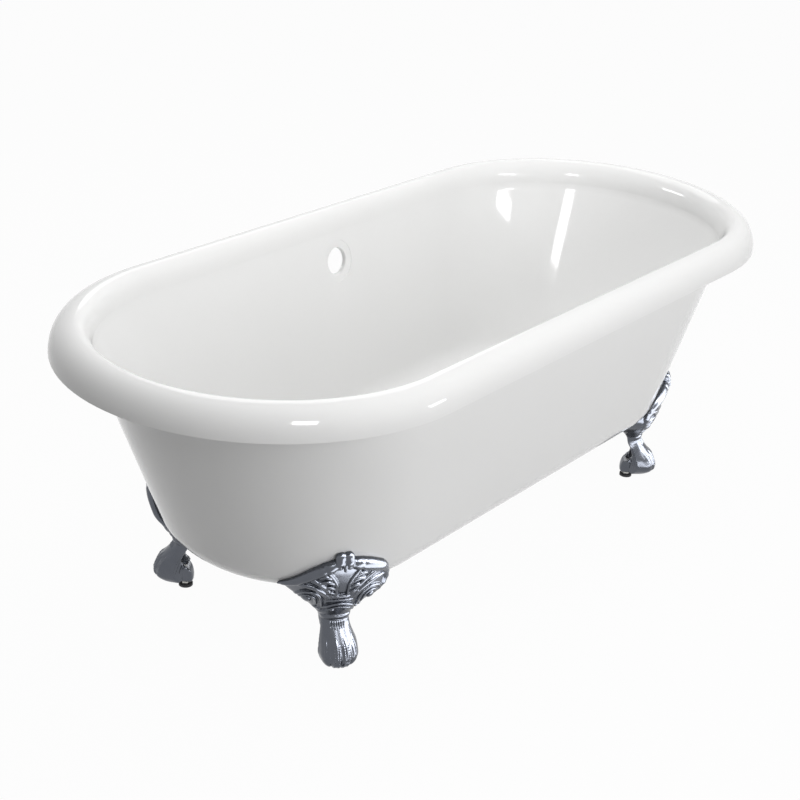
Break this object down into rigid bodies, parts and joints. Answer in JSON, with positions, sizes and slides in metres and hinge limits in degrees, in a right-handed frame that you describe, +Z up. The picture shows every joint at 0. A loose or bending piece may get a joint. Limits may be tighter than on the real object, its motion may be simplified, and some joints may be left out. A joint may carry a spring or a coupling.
{
  "type": "clawfoot bathtub",
  "caption": "Double-ended enamelled cast-iron bathtub with a rolled rim, raised on lion's-paw feet with levelling screws, with bare drain and overflow holes.",
  "frame": {"origin": "on the floor, under the middle of the tub", "axes": "+X along the tub, +Y across it to the long side with the overflow hole, +Z up"},
  "size_m": [1.7, 0.758, 0.594],
  "materials": {
    "white_enamel": "gloss porcelain enamel on cast iron",
    "chrome": "polished chrome on cast iron",
    "zinc_steel": "zinc plated steel",
    "black_nylon": "moulded nylon"
  },
  "bodies": {
    "root": {"tub_body": "white_enamel", "foot_right_rear": "chrome", "mounting_bolt_right_rear": "zinc_steel", "flat_washer_right_rear": "zinc_steel", "spring_washer_right_rear": "zinc_steel", "foot_right_front": "chrome", "mounting_bolt_right_front": "zinc_steel", "flat_washer_right_front": "zinc_steel", "spring_washer_right_front": "zinc_steel", "foot_left_rear": "chrome", "mounting_bolt_left_rear": "zinc_steel", "flat_washer_left_rear": "zinc_steel", "spring_washer_left_rear": "zinc_steel", "foot_left_front": "chrome", "mounting_bolt_left_front": "zinc_steel", "flat_washer_left_front": "zinc_steel", "spring_washer_left_front": "zinc_steel"},
    "glide_body_right_rear": {"glide_right_rear": "black_nylon"},
    "screw_body_right_rear": {"levelling_screw_right_rear": "zinc_steel"},
    "glide_body_right_front": {"glide_right_front": "black_nylon"},
    "screw_body_right_front": {"levelling_screw_right_front": "zinc_steel"},
    "glide_body_left_rear": {"glide_left_rear": "black_nylon"},
    "screw_body_left_rear": {"levelling_screw_left_rear": "zinc_steel"},
    "glide_body_left_front": {"glide_left_front": "black_nylon"},
    "screw_body_left_front": {"levelling_screw_left_front": "zinc_steel"}
  },
  "joints": [
    {"name": "level_right_rear", "type": "slide", "parent": "root", "child": "glide_body_right_rear", "axis": [0, 0, -1], "range_m": [-0.0025, 0.012]},
    {"name": "screw_turn_right_rear", "type": "hinge", "parent": "glide_body_right_rear", "child": "screw_body_right_rear", "pos_m": [0.501, 0.1845, 0], "axis": [0, 0, -1], "range_deg": [-600.5, 2880.5]},
    {"name": "level_right_front", "type": "slide", "parent": "root", "child": "glide_body_right_front", "axis": [0, 0, -1], "range_m": [-0.0025, 0.012]},
    {"name": "screw_turn_right_front", "type": "hinge", "parent": "glide_body_right_front", "child": "screw_body_right_front", "pos_m": [0.501, -0.1845, 0], "axis": [0, 0, -1], "range_deg": [-600.5, 2880.5]},
    {"name": "level_left_rear", "type": "slide", "parent": "root", "child": "glide_body_left_rear", "axis": [0, 0, -1], "range_m": [-0.0025, 0.012]},
    {"name": "screw_turn_left_rear", "type": "hinge", "parent": "glide_body_left_rear", "child": "screw_body_left_rear", "pos_m": [-0.501, 0.1845, 0], "axis": [0, 0, -1], "range_deg": [-600.5, 2880.5]},
    {"name": "level_left_front", "type": "slide", "parent": "root", "child": "glide_body_left_front", "axis": [0, 0, -1], "range_m": [-0.0025, 0.012]},
    {"name": "screw_turn_left_front", "type": "hinge", "parent": "glide_body_left_front", "child": "screw_body_left_front", "pos_m": [-0.501, -0.1845, 0], "axis": [0, 0, -1], "range_deg": [-600.5, 2880.5]}
  ],
  "couplings": [
    {"joint": "screw_turn_right_rear", "follows": "level_right_rear", "rad_per_m": 4188.8},
    {"joint": "screw_turn_right_front", "follows": "level_right_front", "rad_per_m": 4188.8},
    {"joint": "screw_turn_left_rear", "follows": "level_left_rear", "rad_per_m": 4188.8},
    {"joint": "screw_turn_left_front", "follows": "level_left_front", "rad_per_m": 4188.8}
  ]
}
